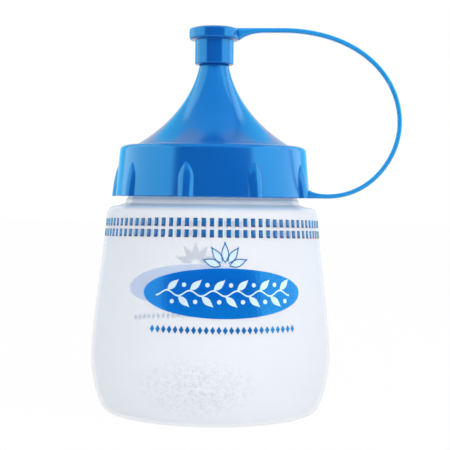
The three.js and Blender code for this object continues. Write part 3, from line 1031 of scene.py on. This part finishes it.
def cut_strap(band, name, keep_lower):
    """One half of the strap, cut square at its middle."""
    half = band.copy()
    half.data = band.data.copy()
    half.name = name
    bpy.context.collection.objects.link(half)
    pick(half)
    bpy.ops.object.mode_set(mode="EDIT")
    bpy.ops.mesh.select_all(action="SELECT")
    bpy.ops.mesh.bisect(
        plane_co=(CUT_AT[0], 0, CUT_AT[1]), plane_no=(CUT_ALONG[0], 0, CUT_ALONG[1]),
        use_fill=True, clear_outer=keep_lower, clear_inner=not keep_lower)
    bpy.ops.object.mode_set(mode="OBJECT")
    # Each half takes the blue that is painted lighter for the glow through the band
    half.data.materials.append(glow_painted_blue_plastic)
    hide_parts("strap")
    return half


whole_strap = strap_band()
strap_lower = cut_strap(whole_strap, "strap_lower", True)
strap_upper = cut_strap(whole_strap, "strap_upper", False)
bpy.data.objects.remove(whole_strap)
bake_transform(strap_lower)
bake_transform(strap_upper)


# Studio
# A pale floor in a white tent, with the dark side of the room behind the camera, so that the gloss
# shows a dark band down the middle of each round form between two light ones.

CAMERA_DISTANCE = 438 * MM
CAMERA_HEIGHT = 75.2 * MM
CAMERA_PITCH = math.radians(1.116)
CAMERA_ROLL = math.radians(0.75)
FOCAL_PIXELS = 1213
AXIS_PIXEL = 212.1
FRAME_PIXELS = 450
TENT_FILL = 0.68
FLOOR_RADIUS = 4
FLOOR_GAP = 0.05 * MM
FLOOR_GLOW_SHARE = 0.97
LAMP_DISTANCE = 0.7
LAMP_HEIGHT = 0.5
LAMP_SIDE = 0.6
LAMP_AIM_HEIGHT = 80 * MM

camera = bpy.data.objects.new("camera", bpy.data.cameras.new("camera"))
bpy.context.collection.objects.link(camera)
camera.data.lens = camera.data.sensor_width * FOCAL_PIXELS / FRAME_PIXELS
camera.data.shift_x = (FRAME_PIXELS / 2 - AXIS_PIXEL) / FRAME_PIXELS
camera.data.clip_start = 10 * MM
camera.matrix_world = (
    Matrix.Rotation(CAMERA_TURN, 4, "Z")
    @ Matrix.Translation((0, -CAMERA_DISTANCE, CAMERA_HEIGHT))
    @ Matrix.Rotation(math.pi / 2 - CAMERA_PITCH, 4, "X")
    @ Matrix.Rotation(CAMERA_ROLL, 4, "Z")
)
bpy.context.scene.camera = camera


def seen_white(tree):
    """1 for rays that see the background directly, in the gloss or through the bottle, else 0."""
    rays = add_node(tree, "ShaderNodeLightPath", {}).outputs
    either = add_node(tree, "ShaderNodeMath", {
        0: rays["Is Camera Ray"], 1: rays["Is Glossy Ray"]}, operation="MAXIMUM")
    seen = add_node(tree, "ShaderNodeMath", {
        0: either.outputs["Value"], 1: rays["Is Transmission Ray"]}, operation="MAXIMUM")
    return seen.outputs["Value"]


world = bpy.data.worlds.new("studio")
bpy.context.scene.world = world
world.use_nodes = True
tree = world.node_tree
tree.nodes.clear()
fill = add_node(tree, "ShaderNodeBackground", {
    "Color": linear("#FFFFFF"), "Strength": TENT_FILL})
white = add_node(tree, "ShaderNodeBackground", {"Color": linear("#FFFFFF"), "Strength": 1.0})
tent = add_node(tree, "ShaderNodeMixShader", {
    0: seen_white(tree), 1: fill.outputs["Background"], 2: white.outputs["Background"]})
add_node(tree, "ShaderNodeOutputWorld", {"Surface": tent.outputs["Shader"]})

bpy.ops.object.select_all(action="DESELECT")
bpy.ops.mesh.primitive_circle_add(
    vertices=64, radius=FLOOR_RADIUS, fill_type="NGON", location=(0, 0, -FLOOR_GAP))
floor = bpy.context.object
floor.name = "floor"
material, tree, shader = new_material("white_paper_floor")
tree.nodes.clear()
paper = add_node(tree, "ShaderNodeBsdfDiffuse", {"Color": linear("#FAFAFC")})
glow = add_node(tree, "ShaderNodeEmission", {"Color": linear("#FFFFFF"), "Strength": 1.0})
share = add_node(tree, "ShaderNodeMath", {
    0: seen_white(tree), 1: FLOOR_GLOW_SHARE}, operation="MULTIPLY")
mixed = add_node(tree, "ShaderNodeMixShader", {
    0: share.outputs["Value"], 1: paper.outputs["BSDF"], 2: glow.outputs["Emission"]})
add_node(tree, "ShaderNodeOutputMaterial", {"Surface": mixed.outputs["Shader"]})
floor.data.materials.append(material)


def tent_panel(name, size, at, turn, colour, glow):
    """A panel of the tent, placed as seen from the camera, which shows only in the gloss."""
    bpy.ops.object.select_all(action="DESELECT")
    bpy.ops.mesh.primitive_plane_add(size=1)
    panel = bpy.context.object
    panel.name = name
    panel.matrix_world = (
        Matrix.Rotation(CAMERA_TURN, 4, "Z")
        @ Matrix.Translation(at)
        @ turn
        @ Matrix.Diagonal((*size, 1, 1))
    )
    bpy.ops.object.transform_apply(location=True, rotation=True, scale=True)
    material, tree, shader = new_material(f"{name}_cloth")
    shader.inputs["Base Color"].default_value = linear(colour)
    shader.inputs["Roughness"].default_value = 1.0
    shader.inputs["Specular IOR Level"].default_value = 0.0
    shader.inputs["Emission Color"].default_value = linear(colour)
    shader.inputs["Emission Strength"].default_value = glow
    panel.data.materials.append(material)
    panel.visible_camera = False
    panel.visible_diffuse = False
    panel.visible_transmission = False
    panel.visible_shadow = False


upright = Matrix.Rotation(math.pi / 2, 4, "X")
sideways = Matrix.Rotation(math.pi / 2, 4, "Y")
tilted = Matrix.Rotation(math.radians(31), 4, "X")
tent_panel("dark_wall", (1.2, 0.8), (0, -0.6, 0.1), upright, "#101010", 0)
tent_panel("left_card", (1.2, 1.1), (-0.6, 0, 0.6), sideways, "#A8D4EE", 3.0)
tent_panel("right_card", (1.2, 1.1), (0.6, 0, 0.6), sideways, "#A8D4EE", 3.3)
tent_panel("left_back_card", (1.8, 1.1), (-0.6, 1.1, 0.9), sideways, "#5ACBF5", 1.5)
tent_panel("right_back_card", (1.8, 1.1), (0.6, 1.1, 0.9), sideways, "#5ACBF5", 1.5)
tent_panel("top_card", (1.3, 1.1), (0, -0.13, 0.77), tilted, "#6FBFF5", 1.6)


def softbox(name, azimuth, power):
    """A soft square lamp that looks at the lid from an azimuth measured from the camera."""
    lamp = bpy.data.objects.new(name, bpy.data.lights.new(name, "AREA"))
    bpy.context.collection.objects.link(lamp)
    lamp.data.shape = "SQUARE"
    lamp.data.size = LAMP_SIDE
    lamp.data.energy = power
    turn = azimuth + CAMERA_TURN
    lamp.location = (LAMP_DISTANCE * math.sin(turn), -LAMP_DISTANCE * math.cos(turn), LAMP_HEIGHT)
    aim = Vector((0, 0, LAMP_AIM_HEIGHT)) - lamp.location
    lamp.rotation_euler = aim.to_track_quat("-Z", "Y").to_euler()
    lamp.visible_camera = False
    lamp.visible_glossy = False
    lamp.visible_transmission = False


softbox("softbox_left", math.radians(-25), 1.1)
softbox("softbox_right", math.radians(45), 3.1)

bpy.context.scene.view_settings.view_transform = "Standard"
